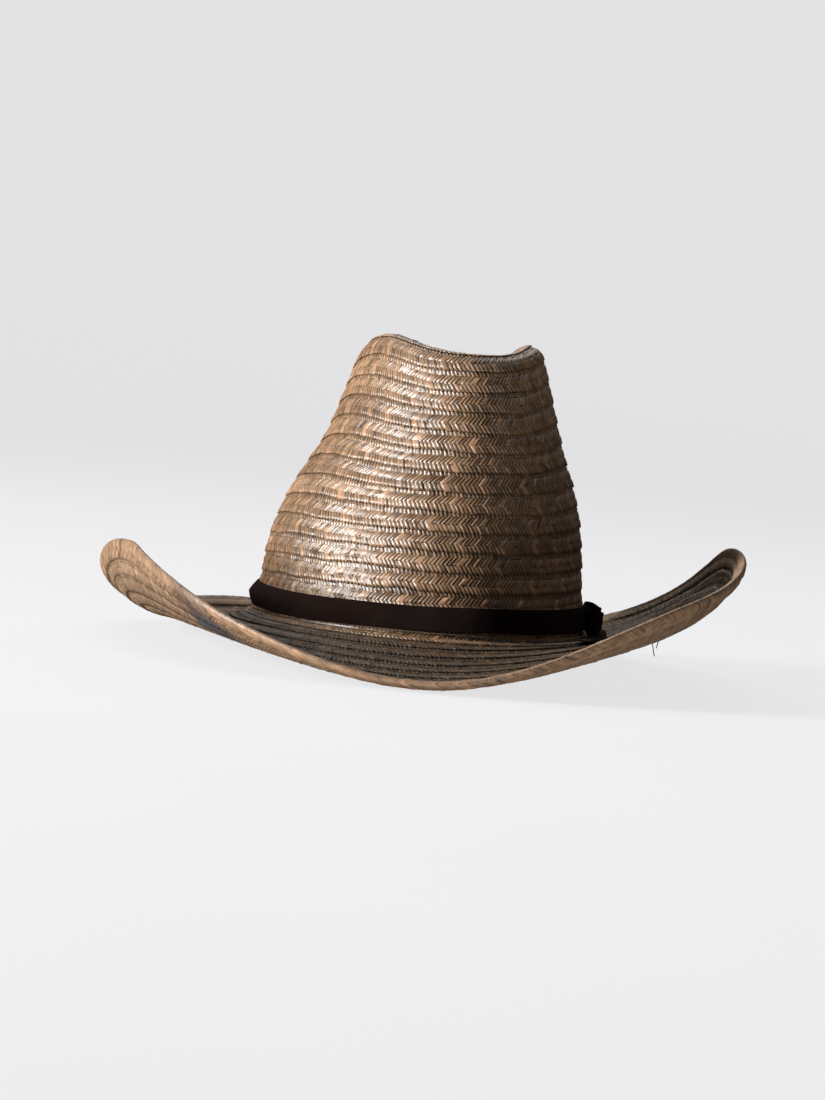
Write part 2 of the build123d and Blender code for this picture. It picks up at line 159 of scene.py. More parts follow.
def smooth_step(low, high, value):
    share = np.clip((value - low) / (high - low), 0.0, 1.0)
    return share * share * (3 - 2 * share)


def oval_point(half_x, half_y, beta):
    size = np.sqrt((half_x * np.cos(beta)) ** 2 + (half_y * np.sin(beta)) ** 2)
    return half_x ** 2 * np.cos(beta) / size, half_y ** 2 * np.sin(beta) / size


def run_along(points):
    """Distance along a line of points, from 0 at its first."""
    return np.concatenate([[0], np.cumsum(np.linalg.norm(np.diff(points, axis=0), axis=1))])


def unit(vectors):
    return vectors / np.maximum(np.linalg.norm(vectors, axis=-1, keepdims=True), 1e-12)


# ---------------------------------------------------------------- brim surface
def brim_point(beta, share, lift=0.0):
    """Points a share of the way from headline to rim, lifted off the brim's middle surface."""
    beta, share = np.broadcast_arrays(beta, share)
    start = np.radians(by_clock(START_SLOPE, beta))
    turn = np.radians(by_clock(TURN, beta))
    width = BRIM_WIDTH - BRIM_WIDER_RIGHT * np.cos(beta) - BRIM_WIDER_FRONT * np.sin(beta)
    steps = 24
    reach = np.zeros(beta.shape)
    rise = np.zeros(beta.shape)
    for step in range(steps):
        slope = start + turn * np.maximum(share * (step + 0.5) / steps, 0.0) ** CURL_POWER
        reach += np.cos(slope)
        rise += np.sin(slope)
    slope = start + turn * np.maximum(share, 0.0) ** CURL_POWER
    reach = reach * width * share / steps - lift * np.sin(slope)
    rise = rise * width * share / steps + lift * np.cos(slope)
    x, y = oval_point(HEAD_HALF_WIDTH, HEAD_HALF_LENGTH, beta)
    return HEAD_CENTRE + np.stack([x + reach * np.cos(beta), y + reach * np.sin(beta), rise], -1)


# ---------------------------------------------------------------- crown surface
def pinch(beta, height):
    tall = np.exp(-((height - PINCH_HEIGHT) / PINCH_TALL) ** 2)
    depth = 0.0
    for side in (-1, 1):
        away = (beta - FRONT - side * PINCH_FROM_FRONT + math.pi) % (2 * math.pi) - math.pi
        depth = depth + PINCH_DEPTH * tall * np.exp(-(away / PINCH_WIDE) ** 2)
    return depth


def wall_point(beta, height, inset=0.0):
    """Points on the crown's outside wall, moved inwards by inset."""
    beta, height = np.broadcast_arrays(beta, height)
    back_length = along(CROWN_BACK_LENGTHS, height)
    front_length = along(CROWN_FRONT_LENGTHS, height)
    length = np.where(np.sin(beta) > 0, back_length, front_length)
    x, y = oval_point(along(CROWN_HALF_WIDTHS, height), length, beta)
    inset = inset + pinch(beta, height)
    lean = CROWN_LEAN * smooth_step(LEAN_STARTS, LEAN_ENDS, height)
    return HEAD_CENTRE + np.stack([x + lean - inset * np.cos(beta), y - inset * np.sin(beta), height], -1)


def roof_height(x, y):
    """Height above the headline of the roof, over a place measured from the crown's top middle."""
    from_middle = np.minimum(np.abs(x) / along(RIDGE_SPACINGS, y), 1.0)
    crease = along(CREASE_DEPTHS, y) * (0.5 + 0.5 * np.cos(math.pi * from_middle))
    return along(RIDGE_HEIGHTS, y) - crease


def shoulder_table(count=1440):
    """Height of the shoulder for evenly spaced directions."""
    beta = np.linspace(0, 2 * math.pi, count + 1)
    height = np.full(beta.shape, 149.0)
    for _ in range(12):
        point = wall_point(beta, height) - HEAD_CENTRE
        height = roof_height(point[:, 0] - CROWN_LEAN, point[:, 1])
    return beta, height


SHOULDER = shoulder_table()
TOP_HALF_WIDTH = 45.5
TOP_HALF_LENGTH = 77.0


def roof_point(corner, inwards):
    """Points of the roof, inwards from the corner by a distance in plan."""
    x = (corner[..., 0] - HEAD_CENTRE[0] - CROWN_LEAN) * (1 - inwards / TOP_HALF_WIDTH)
    y = (corner[..., 1] - HEAD_CENTRE[1]) * (1 - inwards / TOP_HALF_LENGTH)
    return HEAD_CENTRE + np.stack([x + CROWN_LEAN, y, roof_height(x, y)], -1)


def crown_point(beta, row):
    """Points of the crown's outside, row braid rows out from the middle of the roof."""
    beta, row = np.broadcast_arrays(beta, row)
    top = np.interp(beta % (2 * math.pi), *SHOULDER)
    corner = wall_point(beta, top)
    wall_top = top - SHOULDER_ROUNDING
    share = np.clip(row / ROOF_ROWS, -ROOF_CLOSING, 1.0)
    roof = roof_point(corner, TOP_HALF_WIDTH + (SHOULDER_ROUNDING - TOP_HALF_WIDTH) * share)
    over = np.clip((row - ROOF_ROWS) / SHOULDER_ROWS, 0.0, 1.0)[..., None]
    rounded = (roof_point(corner, np.full(beta.shape, SHOULDER_ROUNDING)) * (1 - over) ** 2
               + corner * 2 * over * (1 - over) + wall_point(beta, wall_top) * over ** 2)
    down = np.clip((row - ROOF_ROWS - SHOULDER_ROWS) / WALL_ROWS, 0.0, 1.0)
    wall = wall_point(beta, wall_top + (WALL_FOOT - wall_top) * down)
    beyond = np.maximum(row - CROWN_ROWS, 0.0)
    flare = brim_point(beta, beyond * ROW / BRIM_WIDTH, FLARE_LIFT + CROWN_INSET * (1 - beyond / FLARE))
    point = np.where((row < ROOF_ROWS)[..., None], roof, rounded)
    point = np.where((row > ROOF_ROWS + SHOULDER_ROWS)[..., None], wall, point)
    return np.where((row > CROWN_ROWS)[..., None], flare, point)


def crown_surface(beta, row):
    return crown_point(beta, np.maximum(row, -ROOF_CLOSING))


def brim_surface(beta, row):
    return brim_point(beta, row * EDGE_BRAID_START / BRIM_ROWS)


def with_normal(surface, beta, row):
    """Points of a surface and its outward or upward normals."""
    step = 0.004
    rows_step = 0.08
    point = surface(beta, row)
    around = surface(beta + step, row) - surface(beta - step, row)
    outwards = surface(beta, row + rows_step) - surface(beta, row - rows_step)
    return point, unit(np.cross(outwards, around))


# ---------------------------------------------------------------- meshes
def fast_object(name, points_mm, quads, caps=()):
    """Object from an array of points and an array of quads, with cap polygons at the end."""
    mesh = bpy.data.meshes.new(name)
    points = np.asarray(points_mm, np.float32).reshape(-1, 3) * MM
    loops = np.concatenate([quads.reshape(-1)] + [np.array(cap) for cap in caps]).astype(np.int32)
    sizes = np.concatenate([np.full(len(quads), 4), np.array([len(cap) for cap in caps], int)])
    starts = np.concatenate([[0], np.cumsum(sizes)[:-1]])
    mesh.vertices.add(len(points))
    mesh.vertices.foreach_set("co", points.ravel())
    mesh.loops.add(len(loops))
    mesh.loops.foreach_set("vertex_index", loops)
    mesh.polygons.add(len(sizes))
    mesh.polygons.foreach_set("loop_start", starts.astype(np.int32))
    mesh.update(calc_edges=True)
    mesh.shade_smooth()
    piece = bpy.data.objects.new(name, mesh)
    bpy.context.scene.collection.objects.link(piece)
    return piece


def ring_quads(columns, stations, closed):
    """Quads of a tube whose cross-sections are rings of stations, column after column."""
    last = columns if closed else columns - 1
    here = np.arange(last)[:, None] * stations
    after = (np.arange(last)[:, None] + 1) % columns * stations
    station = np.arange(stations)[None, :]
    beside = (station + 1) % stations
    return np.stack([here + station, after + station, after + beside, here + beside], -1).reshape(-1, 4)


def set_uv(piece, u, v):
    layer = piece.data.uv_layers.new(name="length_and_width")
    index = np.zeros(len(piece.data.loops), np.int32)
    piece.data.loops.foreach_get("vertex_index", index)
    layer.data.foreach_set("uv", np.stack([u.ravel()[index], v.ravel()[index]], -1).ravel())


def set_face_vectors(piece, name, values):
    attribute = piece.data.attributes.new(name, "FLOAT_VECTOR", "FACE")
    attribute.data.foreach_set("vector", np.asarray(values, np.float32).ravel())


def set_point_values(piece, name, values):
    attribute = piece.data.attributes.new(name, "FLOAT", "POINT")
    attribute.data.foreach_set("value", np.asarray(values, np.float32).ravel())


# ---------------------------------------------------------------- straw braid strips
def wide_pairs(strands, random):
    """Marks the first straw of each pair that is one wide flat straw, 8 to 14 straws apart."""
    first = np.cumsum(random.integers(8, 15, strands // 8 + 1))
    marks = np.zeros(strands + 2, bool)
    marks[first[first < strands]] = True
    return marks


def straw_looks(strands, wide, random):
    """For each straw and each of its three slants: tone, warmth and depth of shade."""
    own = random.random((strands, 1))
    tone = 0.15 + 0.7 * np.clip(0.35 * own + 0.65 * random.random((strands, 3)), 0, 1)
    straws = np.arange(strands)
    slow = random.random(strands // TONE_DRIFTS_EVERY + 3)
    drift = np.interp(straws / TONE_DRIFTS_EVERY, np.arange(len(slow)), slow)[:, None]
    batches = random.random(strands // TONE_BATCH + 3)
    batch = np.interp(straws / TONE_BATCH, np.arange(len(batches)), batches)[:, None]
    tone = 0.6 * tone + 0.2 * drift + 0.32 * batch - 0.06
    warm = (random.random((strands, 3)) > 0.95) * random.random((strands, 3))
    deep = (random.random((strands, 3)) > 0.94) * 0.8
    for shift in (0, 1):
        straw = np.flatnonzero(wide[:strands - 1]) + shift
        warm[straw, 1:] = np.maximum(warm[straw, 1:], 0.6 * own[straw - shift])
        tone[straw, 1:] = 0.4 + 0.4 * own[straw - shift]
        deep[straw] = 0.0
    return np.stack([tone, warm, deep], -1)


def straw_profile(column, place, lean, joined):
    """Height of the braid from 0 in the gaps to 1 on the crests, straws leaning to one side.

    Joined columns are the gap in the middle of a wide straw. It is filled over the middle slant,
    or from there to the free edge.
    """
    part = column % COLUMNS
    high = np.select([part == 1, part == 2], [1.0, 0.8], 0.0)[:, None] * np.ones(len(place))
    tipped = np.select([part == 1, part == 2], [-1.0, 1.0], 0.0)[:, None] * lean
    middle = (place > CROSSINGS[0]) & (place < CROSSINGS[1] - 0.02)
    lower = place > CROSSINGS[0] + 0.1
    flat = np.where((column % 2 == 0)[:, None], middle[None, :], lower[None, :])
    return np.where(flat & ((part == 0) & joined)[:, None], 0.95, high + tipped)


def section_stations(both_sides):
    """Place and straw height round a braid's section, over its top and back underneath."""
    top_place, top_height = (np.array(values) for values in zip(*TOP_STATIONS))
    if both_sides:
        under_place = top_place[::-1]
        under_height = np.maximum(top_height[::-1], 0.6)
    else:
        under_place = np.array([1.0, 0.5, 0.0])
        under_height = np.zeros(3)
    place = np.concatenate([top_place, under_place])
    is_top = np.arange(len(place)) < len(top_place)
    return place, np.concatenate([top_height, under_height])[None, :], is_top


def strip_length(surface, low, high):
    """Rows wound at even steps along a spiral strip, and its length up to each."""
    wound = np.linspace(low - STRIP_BEGINS, high - STRIP_ENDS, 6000)
    middle_row = (np.clip(wound, low, high) + np.clip(wound + 1, low, high)) / 2
    return wound, run_along(surface(BACK - 2 * math.pi * wound, middle_row))


def strip_shade(place, is_top, both_sides):
    """Painted shade across a row: on the tucked edge under the row above, and on the free edge where both
    sides show.
    """
    shade = 0.55 * (1 - smooth_step(0.16, 0.30, place)) * is_top
    if both_sides:
        shade = shade + 0.8 * smooth_step(0.93, 1.0, place)
    return shade[None, :]


def braid_strip(name, surface, low, high, seed, both_sides, inset=0.0):
    """One long strip of braid sewn round and round from the back, from low to high rows."""
    wound, length = strip_length(surface, low, high)
    strands = int(length[-1] / STRAND)
    column = np.arange(COLUMNS * strands + 1)
    place, straw_height, is_top = section_stations(both_sides)
    slant = np.digitize(place, CROSSINGS)
    at_edge = smooth_step(0.9, 1.0, place)[None, :]

    # Where each straw lies along the strip, and the rows that it runs between there.
    random = np.random.default_rng(seed)
    uneven = random.random((strands + 1, 3)) - 0.5
    uneven = uneven[column // COLUMNS][:, slant] * (column % COLUMNS == 0)[:, None]
    zig = -np.interp(place, *np.transpose(ZIGZAG))
    along_strip = (column[:, None] / COLUMNS + zig[None, :] + UNEVEN * uneven) * STRAND
    turns = np.interp(along_strip, length, wound)
    upper = np.clip(turns, low, high)
    width = np.clip(turns + 1, low, high) - upper
    thinned = np.minimum(width, 1)

    # Relief of the straws, with open pits at some crossings, and how deep in a gap a point is, which is
    # painted as shade.
    wide = wide_pairs(strands, random)
    looks = straw_looks(strands, wide, random)
    own = random.random((3, strands + 1, 3))[:, column // COLUMNS][:, :, slant]
    joined = np.roll(wide, 1)[column // COLUMNS]
    whole = straw_profile(column, place, 0.35 * (own[0] - 0.5), joined)
    pit = np.isin(place, CROSSINGS)[None, :] & (own[1] < PIT_SHARE)
    relief = np.where(pit, -0.6, whole * straw_height * (0.65 + 0.6 * own[1]))
    painted_gap_shade = np.clip(1.12 - 1.12 * whole * np.clip(straw_height * 1.6, 0, 1) - 0.42 * own[2], 0, 1)
    painted_gap_shade = np.clip(np.where(pit, 1.0, painted_gap_shade) + strip_shade(place, is_top, both_sides), 0, 1)

    # The free edge wanders and is scalloped by the straws' ends.
    knots = np.arange(0, length[-1] + 60, WANDER_EVERY)
    wander = np.interp(along_strip, knots, random.standard_normal(len(knots)))
    scallop = SCALLOP * (whole - 0.5 + 0.5 * (own[1] - 0.5)) * at_edge
    sway = (EDGE_WANDER * wander * place[None, :] + scallop) * thinned
    row = upper + (place[None, :] * (1 + OVERLAP) - OVERLAP) * width + sway

    point, normal = with_normal(surface, BACK - 2 * math.pi * turns, row)
    tilted = (place[None, :] - 0.5) * 2 * TILT * thinned
    side = np.where(is_top, 1.0, -1.0)[None, :]
    raised = side * (BRAID_HALF + RELIEF * (relief - 0.5))
    offset = tilted - inset + raised + LIFT_WANDER * wander * place[None, :] ** 2
    vertices = point + normal * offset[..., None]

    ring = np.arange(len(place))
    end = (len(column) - 1) * len(place) + ring
    piece = fast_object(name, vertices, ring_quads(len(column), len(place), closed=False),
                        [ring, end[::-1]])
    set_uv(piece, column[:, None] / COLUMNS + 0 * place[None, :], 0 * column[:, None] + place[None, :])
    face_straw = np.repeat(np.arange(len(column) - 1), len(place)) // COLUMNS
    face_place = np.tile((place + np.roll(place, -1)) / 2, len(column) - 1)
    values = looks[np.minimum(face_straw, strands - 1), np.digitize(face_place, CROSSINGS)]
    set_face_vectors(piece, "straw", np.concatenate([values, np.full((2, 3), 0.5)]))
    set_point_values(piece, "painted_gap_shade", painted_gap_shade)
    # Painted shade on the upper side, lifted towards the rim; the underside gets none.
    top_shade_lifted = TOP_SHADE_EASING * smooth_step(0.55, 1.0, row / high)
    set_point_values(piece, "under", np.where(is_top[None, :], top_shade_lifted, 1.0))
    return piece


# Round the rim row's section: share of the brim's width, lift off the brim's middle surface,
# shift along the rim in slants, and height of the straws.
RIM_SECTION = [(0.893, 1.25, 0.0, 0.2), (0.906, 1.75, 0.2, 1.0), (0.925, 1.85, 0.5, 1.0),
               (0.945, 1.85, 0.85, 0.9), (0.951, 1.75, 0.95, 0.15), (0.957, 1.85, 0.85, 0.9),
               (0.975, 1.8, 0.45, 1.0), (0.990, 1.5, 0.1, 0.9), (1.002, 0.75, -0.2, 0.8),
               (1.006, 0.0, -0.4, 0.6), (1.002, -0.75, -0.2, 0.8), (0.990, -1.5, 0.1, 0.9),
               (0.970, -1.8, 0.5, 1.0), (0.951, -1.75, 0.9, 0.15), (0.930, -1.8, 0.5, 1.0),
               (0.910, -1.6, 0.2, 0.9), (0.896, -1.0, 0.0, 0.2)]


def edge_braid(name, seed):
    """The row of braid folded round the rim, with its straws slanting on both faces."""
    beta_line = np.linspace(0, 2 * math.pi, 4001)
    length = run_along(brim_point(beta_line, 0.97))
    strands = int(length[-1] / STRAND)
    column = np.arange(COLUMNS * strands)
    share, lift, zig, height = (np.array(values) for values in zip(*RIM_SECTION))
    along_rim = (column[:, None] / COLUMNS / strands * length[-1] + zig[None, :] * RIM_SLANT * STRAND)
    beta = np.interp(along_rim % length[-1], length, beta_line)
    random = np.random.default_rng(seed)
    profile = np.where(column % COLUMNS == 0, 0.0, 1.0)[:, None] * height[None, :]
    own = random.random((2, strands))[:, column // COLUMNS][:, :, None]
    size = np.abs(lift) + RIM_RELIEF * (profile * (0.6 + 0.8 * own[0]) - 0.5)
    knots = np.linspace(0, length[-1] * 1.01, 60)
    wobble = RIM_WOBBLE * np.interp(along_rim, knots, random.standard_normal(60))
    uneven_share = share[None, :] + wobble * (share > 0.95)[None, :]
    vertices = brim_point(beta, uneven_share, np.sign(lift)[None, :] * size)
    quads = ring_quads(len(column), len(share), closed=True)
    piece = fast_object(name, vertices, quads[:, ::-1])
    around = np.linspace(0, 2, len(share))
    set_uv(piece, column[:, None] / COLUMNS + 0 * around[None, :], 0 * column[:, None] + around[None, :])
    looks = straw_looks(strands, wide_pairs(strands, random), random)
    looks[..., 0] = 0.25 + 0.7 * looks[..., 0]
    face_straw = np.repeat(np.arange(len(column)), len(share)) // COLUMNS
    face_slant = np.tile(np.digitize((around + np.roll(around, -1)) / 2, [0.5, 1.2]), len(column))
    set_face_vectors(piece, "straw", looks[face_straw, face_slant])
    # Painted shade in the gaps between the rim's straws.
    set_point_values(piece, "painted_gap_shade", np.clip(0.75 - 1.2 * profile - 0.9 * own[1], 0, 1))
    # The rim's upper face gets part of the painted top shade.
    set_point_values(piece, "under", np.where(lift < 0, 1.0, 0.4)[None, :] + 0 * profile)
    return piece


# ---------------------------------------------------------------- ribbons
# Half of a ribbon's section, with its thicker woven edges: place across it, and half thickness.
RIBBON_PROFILE = [(-1.0, 0.0), (-0.985, 0.75), (-0.94, 1.15), (-0.86, 1.0), (-0.4, 1.0), (0.0, 1.0),
                  (0.4, 1.0), (0.86, 1.0), (0.94, 1.15), (0.985, 0.75), (1.0, 0.0)]


def ribbon(name, middle, across, outwards, thickness, closed, bulge=0.0):
    """Ribbon along a line of middles; across runs from its middle to its upper edge.

    It is flat, or bulges outwards between its edges by a distance that may change along it.
    """
    place, half = (np.array(values) for values in zip(*RIBBON_PROFILE))
    half = half * thickness / 2
    ring_place = np.concatenate([place, place[-2:0:-1]])
    ring_lift = np.concatenate([half, -half[-2:0:-1]])[None, :]
    bulging = 1 - np.abs(ring_place) ** 1.3
    ring_lift = ring_lift + np.multiply.outer(bulge + np.zeros(len(middle)), bulging)
    points = (middle[:, None, :] + across[:, None, :] * ring_place[None, :, None]
              + outwards[:, None, :] * ring_lift[:, :, None])
    columns, stations = points.shape[:2]
    quads = ring_quads(columns, stations, closed)
    caps = [] if closed else [np.arange(stations), (columns - 1) * stations + np.arange(stations)[::-1]]
    piece = fast_object(name, points, quads, caps)
    run = run_along(middle)
    wide = np.linalg.norm(across, axis=1)
    set_uv(piece, run[:, None] + 0 * ring_place[None, :], wide[:, None] * ring_place[None, :])
    return piece


def waves(beta, seed, size, counts):
    """Small smooth unevenness round a closed ring."""
    random = np.random.default_rng(seed)
    total = 0.0
    for count in counts:
        total = total + size / len(counts) * np.sin(count * beta + random.uniform(0, 2 * math.pi))
    return total


# ---------------------------------------------------------------- materials
RIB_PITCH = 0.38956              # of the ribbon's woven ribs


class Recipe:
    """A node material while it is being put together."""

    def __init__(self, name, **settings):
        self.material = bpy.data.materials.new(name)
        self.material.use_nodes = True
        self.tree = self.material.node_tree
        self.shader = self.tree.nodes["Principled BSDF"]
        for socket, value in settings.items():
            self.feed(self.shader.inputs[socket.replace("_", " ")], value)

    def feed(self, socket, value):
        if isinstance(value, bpy.types.NodeSocket):
            self.tree.links.new(value, socket)
        else:
            socket.default_value = value

    def node(self, kind, inputs=None, **settings):
        node = self.tree.nodes.new("ShaderNode" + kind)
        for name, value in settings.items():
            setattr(node, name, value)
        for name, value in (inputs or {}).items():
            self.feed(node.inputs[name], value)
        return node

    def place(self):
        return self.node("TexCoord").outputs["Object"]

    def stretched(self, vector, scale):
        return self.node("Mapping", {"Vector": vector, "Scale": scale}).outputs["Vector"]

    def noise(self, vector, scale, detail=3.0, roughness=0.55):
        made = self.node("TexNoise", {"Vector": vector, "Scale": scale, "Detail": detail,
                                      "Roughness": roughness})
        return made.outputs["Fac"]

    def ranged(self, value, low, high, to_low=0.0, to_high=1.0):
        made = self.node("MapRange", {"Value": value, "From Min": low, "From Max": high,
                                      "To Min": to_low, "To Max": to_high})
        return made.outputs["Result"]

    def math(self, operation, first, second=0.5):
        made = self.node("Math", {0: first, 1: second}, operation=operation)
        return made.outputs[0]

    def ramp(self, value, stops):
        made = self.node("ValToRGB", {"Fac": value})
        elements = made.color_ramp.elements
        while len(elements) < len(stops):
            elements.new(0.5)
        for element, (at, colour) in zip(elements, stops):
            element.position = at
            element.color = (*colour, 1)
        return made.outputs["Color"]

    def mix(self, share, first, second, blend="MIX"):
        made = self.node("MixRGB", {"Fac": share, "Color1": first, "Color2": second}, blend_type=blend)
        return made.outputs["Color"]

    def scaled(self, colour, value):
        """Colour made darker or lighter by a plain value."""
        return self.mix(1.0, colour, value, "MULTIPLY")

    def bump(self, height, strength, distance, normal=None):
        made = self.node("Bump", {"Height": height, "Strength": strength, "Distance": distance})
        if normal is not None:
            self.feed(made.inputs["Normal"], normal)
        return made.outputs["Normal"]

    def colour(self, value):
        self.feed(self.shader.inputs["Base Color"], value)

    def normal(self, value):
        self.feed(self.shader.inputs["Normal"], value)

    def roughness(self, value):
        self.feed(self.shader.inputs["Roughness"], value)


def soft_spot(recipe, centre_mm, radius_mm, uneven):
    """1 in the middle of a soft spot with an uneven edge, and 0 away from it."""
    point = tuple(float(c) * MM for c in centre_mm)
    away = recipe.node("VectorMath", {0: recipe.place(), 1: point}, operation="DISTANCE").outputs["Value"]
    radius = radius_mm * MM
    wander = recipe.math("MULTIPLY", recipe.math("SUBTRACT", uneven, 0.5), radius)
    frayed = recipe.math("ADD", away, wander)
    return recipe.ranged(frayed, radius, radius * 0.35)


def straw_material(name, stops, ageing, dust, gloss, top_shade=1.0, stains=()):
    """Plaited straw: each straw has its own tone, with fibres along it.

    stops run from the darkest straw to the palest; ageing darkens worn patches; dust is the share
    of grey over the straw; gloss is 1 where it keeps its shine; top_shade is painted shade on the
    upper side; the gaps between the straws get painted shade; stains are (centre in millimetres,
    radius, colour, strength).
    """
    recipe = Recipe(name, Coat_Weight=0.34 * gloss, Coat_Roughness=0.3,
                    Specular_IOR_Level=0.42 * gloss)
    straw = recipe.node("Attribute", attribute_name="straw").outputs["Vector"]
    own = recipe.node("SeparateXYZ", {"Vector": straw})
    uv = recipe.node("UVMap", uv_map="length_and_width").outputs["UV"]
    place = recipe.place()
    fibre = recipe.noise(recipe.stretched(uv, (7.0, 1.3, 1.0)), 1.0, 4.0, 0.6)
    blotch = recipe.noise(recipe.stretched(uv, (0.9, 1.6, 1.0)), 1.3, 2.0)
    worn = recipe.noise(place, 16.0, 4.0)
    tone = recipe.math("ADD", recipe.math("MULTIPLY", own.outputs["X"], 0.68),
                       recipe.math("MULTIPLY", blotch, 0.42))
    colour = recipe.ramp(recipe.math("SUBTRACT", tone, 0.06), stops)
    colour = recipe.mix(own.outputs["Y"], colour, (0.30, 0.165, 0.10, 1))
    colour = recipe.scaled(colour, recipe.ranged(fibre, 0.3, 0.7, 0.72, 1.18))
    colour = recipe.scaled(colour, recipe.ranged(own.outputs["Z"], 0.0, 1.0, 1.0, 0.42))
    colour = recipe.scaled(colour, recipe.ranged(worn, 0.3, 0.7, 1.0 - ageing, 1.0 + ageing * 0.4))
    # Painted shade on the upper side of the brim and rim.
    under = recipe.node("Attribute", attribute_name="under").outputs["Fac"]
    colour = recipe.scaled(colour, recipe.ranged(under, 0.0, 1.0, top_shade, 1.0))
    # Painted shade in the gaps and pits between the straws and along the rows' edges.
    painted_gap_shade = recipe.node("Attribute", attribute_name="painted_gap_shade").outputs["Fac"]
    colour = recipe.scaled(colour, recipe.ranged(painted_gap_shade, 0.15, 0.85, 1.0, 0.12))
    mottle = recipe.noise(place, 260.0, 2.0)
    colour = recipe.scaled(colour, recipe.ranged(mottle, 0.35, 0.65, 0.78, 1.16))
    if dust:
        greying = recipe.ranged(worn, 0.35, 0.65, dust * 0.5, dust)
        colour = recipe.mix(greying, colour, (0.115, 0.085, 0.062, 1))
    for centre, radius, stain_colour, strength in stains:
        spot = soft_spot(recipe, centre, radius, recipe.noise(place, 90.0, 3.0))
        colour = recipe.mix(recipe.math("MULTIPLY", spot, strength), colour, stain_colour)
    recipe.colour(colour)
    recipe.roughness(recipe.ranged(fibre, 0.3, 0.7, 0.34, 0.52))
    grain = recipe.noise(place, 420.0, 3.0)
    fine = recipe.bump(fibre, 0.5, 0.00025)
    recipe.normal(recipe.bump(grain, 0.25, 0.00008, fine))
    return recipe.material


def grosgrain_material(name, colour, frayed_end=None):
    """Ribbed ribbon: narrow ribs run across it, and it is dusty and pale where it is frayed.

    The wave bands repeat every pi / 10 divided by their scale, here on a length in millimetres.
    """
    recipe = Recipe(name, Specular_IOR_Level=0.05)
    uv = recipe.node("UVMap", uv_map="length_and_width").outputs["UV"]
    place = recipe.place()
    ribs = recipe.node("TexWave", {"Vector": uv, "Scale": math.pi / 10 / RIB_PITCH,
                                   "Distortion": 0.6, "Detail": 2.0, "Detail Scale": 2.0},
                       wave_type="BANDS", bands_direction="X").outputs["Fac"]
    dust = recipe.noise(place, 60.0, 4.0)
    fluff = recipe.noise(place, 900.0, 3.0)
    dusty = recipe.mix(recipe.ranged(dust, 0.4, 0.75, 0.0, 0.5), (*colour, 1), (0.014, 0.008, 0.006, 1))
    if frayed_end is not None:
        dusty = recipe.mix(soft_spot(recipe, frayed_end, 6.0, fluff), dusty, (0.26, 0.17, 0.13, 1))
    recipe.colour(recipe.scaled(dusty, recipe.ranged(ribs, 0.0, 1.0, 0.55, 1.25)))
    recipe.roughness(recipe.ranged(fluff, 0.3, 0.7, 0.62, 0.82))
    recipe.normal(recipe.bump(fluff, 0.2, 0.0001, recipe.bump(ribs, 0.7, 0.0002)))
    return recipe.material


def leather_material(name):
    """Worn leather: fine pores, darker where it has taken up sweat."""
    recipe = Recipe(name, Specular_IOR_Level=0.45, Coat_Weight=0.08, Coat_Roughness=0.3)
    place = recipe.place()
    cells = recipe.node("TexVoronoi", {"Vector": place, "Scale": 900.0}, feature="DISTANCE_TO_EDGE")
    pores = cells.outputs["Distance"]
    wear = recipe.noise(place, 22.0, 5.0, 0.6)
    sweat = recipe.noise(place, 9.0, 3.0)
    colour = recipe.ramp(wear, [(0.25, (0.055, 0.028, 0.014)), (0.5, (0.13, 0.068, 0.034)),
                                (0.8, (0.24, 0.14, 0.075))])
    colour = recipe.scaled(colour, recipe.ranged(sweat, 0.35, 0.65, 0.6, 1.1))
    recipe.colour(recipe.scaled(colour, recipe.ranged(pores, 0.0, 0.12, 0.6, 1.0)))
    recipe.roughness(recipe.ranged(wear, 0.3, 0.7, 0.55, 0.38))
    recipe.normal(recipe.bump(recipe.ranged(pores, 0.0, 0.2), 0.5, 0.0002))
    return recipe.material


def thread_material(name, dark, pale):
    """Twisted thread: fine slanting turns."""
    recipe = Recipe(name, Sheen_Weight=0.2, Specular_IOR_Level=0.3)
    place = recipe.place()
    twist = recipe.noise(recipe.stretched(place, (1.0, 1.0, 2.4)), 1500.0, 2.0)
    tone = recipe.noise(place, 40.0, 3.0)
    colour = recipe.mix(recipe.ranged(tone, 0.3, 0.7), (*dark, 1), (*pale, 1))
    recipe.colour(recipe.scaled(colour, recipe.ranged(twist, 0.3, 0.7, 0.6, 1.15)))
    recipe.roughness(recipe.ranged(twist, 0.3, 0.7, 0.6, 0.85))
    recipe.normal(recipe.bump(twist, 0.6, 0.0001))
    return recipe.material


def tape_material(name):
    """Woven tape with diagonal ribs."""
    recipe = Recipe(name, Sheen_Weight=0.3, Specular_IOR_Level=0.25)
    place = recipe.place()
    weave = recipe.node("TexWave", {"Vector": place, "Scale": 320.0, "Distortion": 1.0, "Detail": 2.0},
                        wave_type="BANDS", bands_direction="DIAGONAL").outputs["Fac"]
    fluff = recipe.noise(place, 700.0, 3.0)
    over_and_under = recipe.ranged(weave, 0.2, 0.8)
    recipe.colour(recipe.mix(over_and_under, (0.018, 0.016, 0.015, 1), (0.06, 0.052, 0.045, 1)))
    recipe.roughness(recipe.ranged(fluff, 0.3, 0.7, 0.7, 0.9))
    recipe.normal(recipe.bump(weave, 0.5, 0.0002))
    return recipe.material


def reed_material(name):
    """Yellowed plastic reed, scratched along its length."""
    recipe = Recipe(name, Specular_IOR_Level=0.5, Subsurface_Weight=0.05)
    place = recipe.place()
    dirt = recipe.noise(place, 70.0, 4.0)
    scratch = recipe.noise(recipe.stretched(place, (1.0, 1.0, 6.0)), 500.0, 2.0)
    recipe.colour(recipe.ramp(dirt, [(0.3, (0.42, 0.36, 0.26)), (0.7, (0.66, 0.60, 0.48))]))
    recipe.roughness(recipe.ranged(scratch, 0.3, 0.7, 0.35, 0.55))
    recipe.normal(recipe.bump(scratch, 0.15, 0.0001))
    return recipe.material


